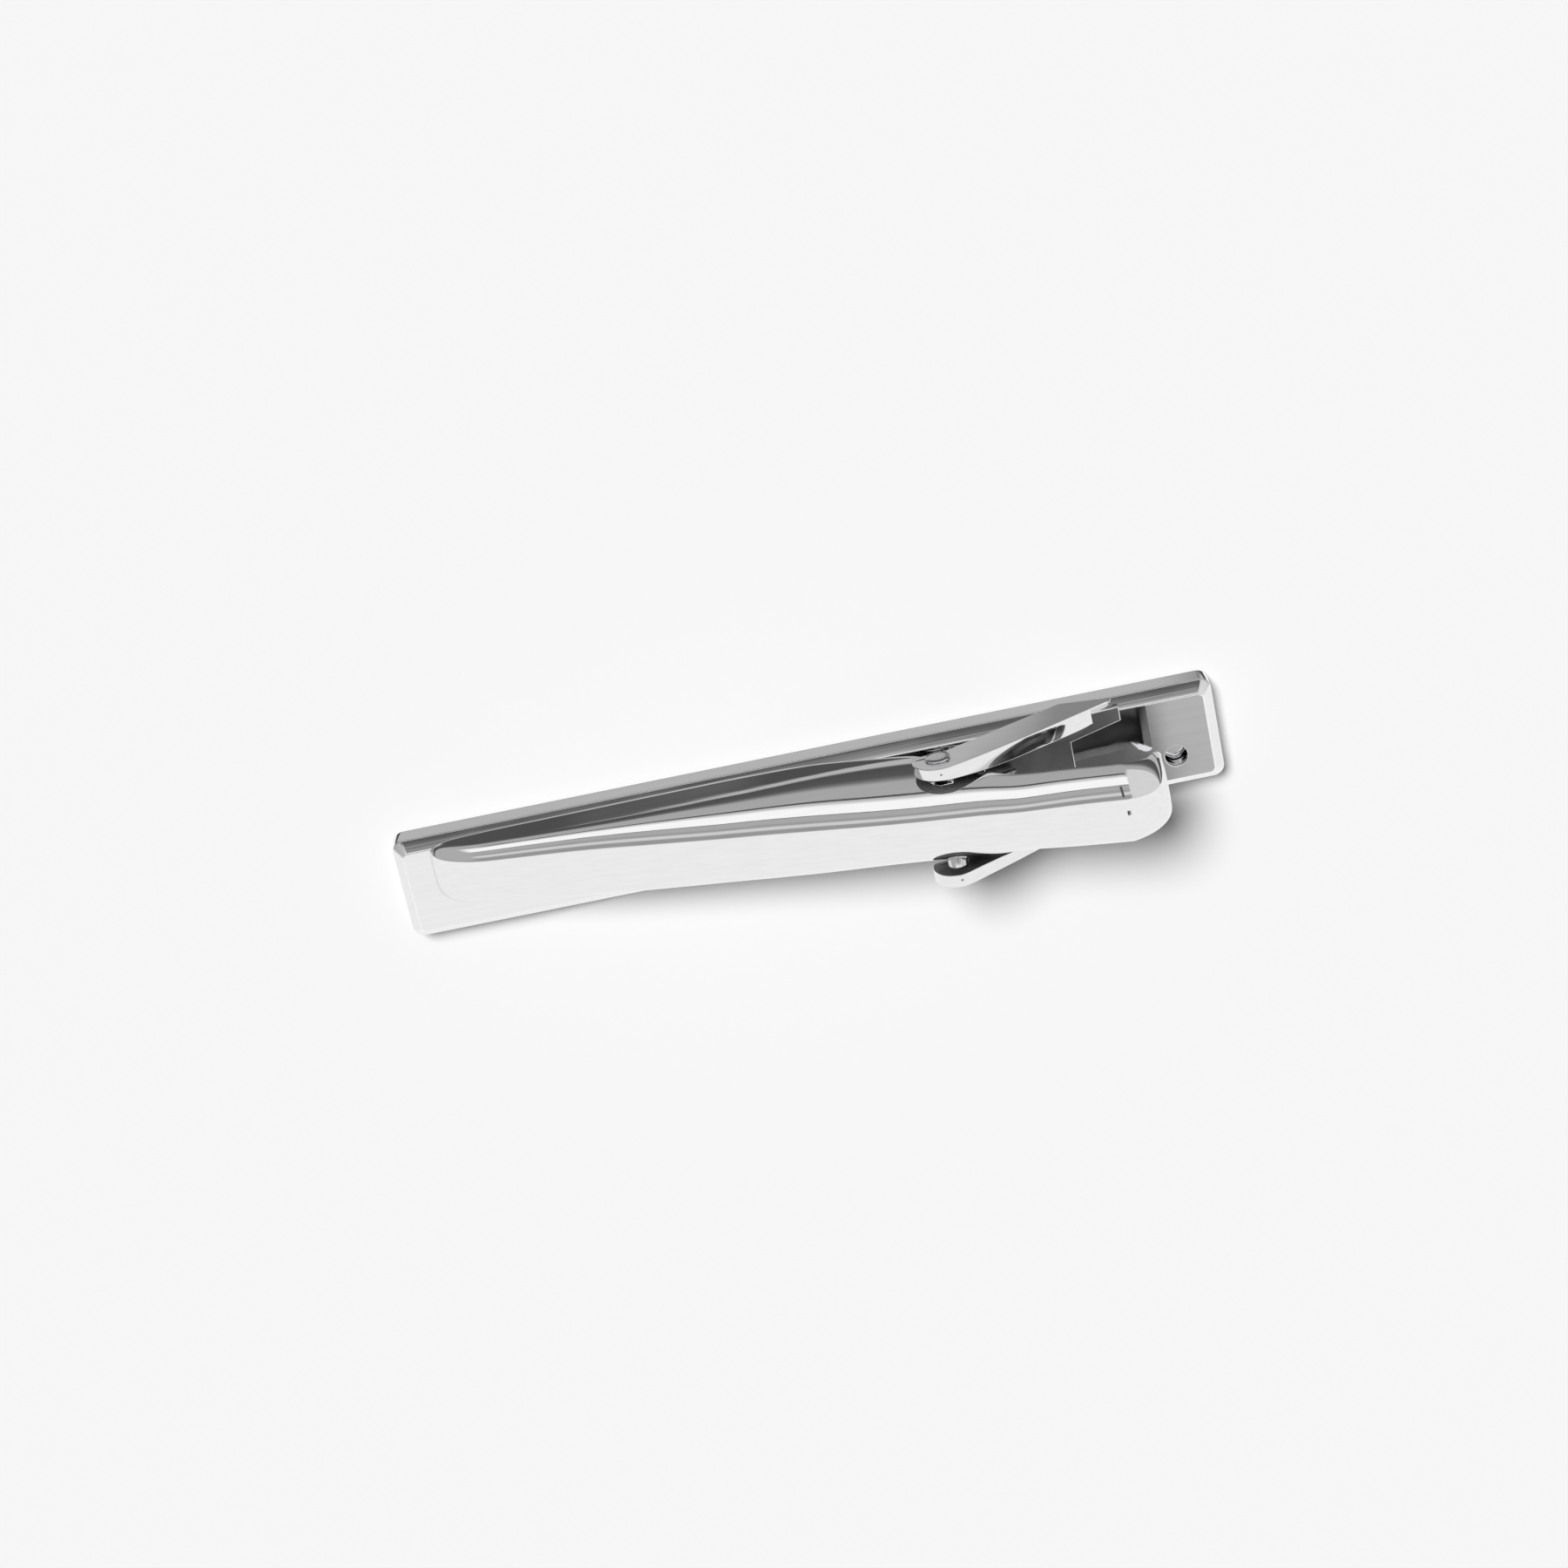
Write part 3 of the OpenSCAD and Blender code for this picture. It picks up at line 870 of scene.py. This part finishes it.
def make_world():
    """The studio as the metal mirrors it, and for all other light the tent's even white."""
    world = bpy.data.worlds.new("studio")
    world.use_nodes = True
    scene.world = world
    tree = world.node_tree
    nodes, links = tree.nodes, tree.links
    split = nodes.new("ShaderNodeSeparateXYZ")
    links.new(nodes.new("ShaderNodeTexCoord").outputs["Generated"], split.inputs["Vector"])
    sideways = split.outputs["X"]
    angle = maths(tree, "ARCTAN2", split.outputs["Z"], maths(tree, "MULTIPLY", split.outputs["Y"], -1))
    colour = studio_ramp(tree, angle)
    for left, right, x_soft, low, high, soft, brightness in CARDS:
        edges = [soft_step(tree, sideways, left - x_soft, left + x_soft),
                 soft_step(tree, sideways, right + x_soft, right - x_soft),
                 soft_step(tree, angle, math.radians(low - soft), math.radians(low + soft)),
                 soft_step(tree, angle, math.radians(high + soft), math.radians(high - soft))]
        inside = edges[0]
        for edge in edges[1:]:
            inside = maths(tree, "MULTIPLY", inside, edge)
        layer = nodes.new("ShaderNodeMix")
        layer.data_type = "RGBA"
        links.new(inside, layer.inputs["Factor"])
        links.new(colour, layer.inputs[6])
        layer.inputs[7].default_value = grey(brightness)
        colour = layer.outputs[2]
    cards = nodes["Background"]
    cards.inputs["Strength"].default_value = BRIGHTEST
    links.new(colour, cards.inputs["Color"])
    tent = nodes.new("ShaderNodeBackground")
    tent.inputs["Color"].default_value = (1, 1, 1, 1)
    tent.inputs["Strength"].default_value = TENT_BRIGHTNESS
    mix = nodes.new("ShaderNodeMixShader")
    links.new(nodes.new("ShaderNodeLightPath").outputs["Is Glossy Ray"], mix.inputs["Fac"])
    links.new(tent.outputs["Background"], mix.inputs[1])
    links.new(cards.outputs["Background"], mix.inputs[2])
    links.new(mix.outputs["Shader"], nodes["World Output"].inputs["Surface"])


def make_lights():
    """A soft light above the camera, so that the shadows hug the clip's lower side."""
    sun = bpy.data.lights.new("key", "SUN")
    sun.energy = SUN_POWER
    sun.angle = SUN_ANGLE
    lamp = new_object("key", sun)
    lamp.rotation_euler = SUN_TRAVEL.to_track_quat("-Z", "Y").to_euler()
    lamp.visible_glossy = False


make_camera()
make_table()
make_world()
make_lights()
scene.view_settings.view_transform = "Standard"
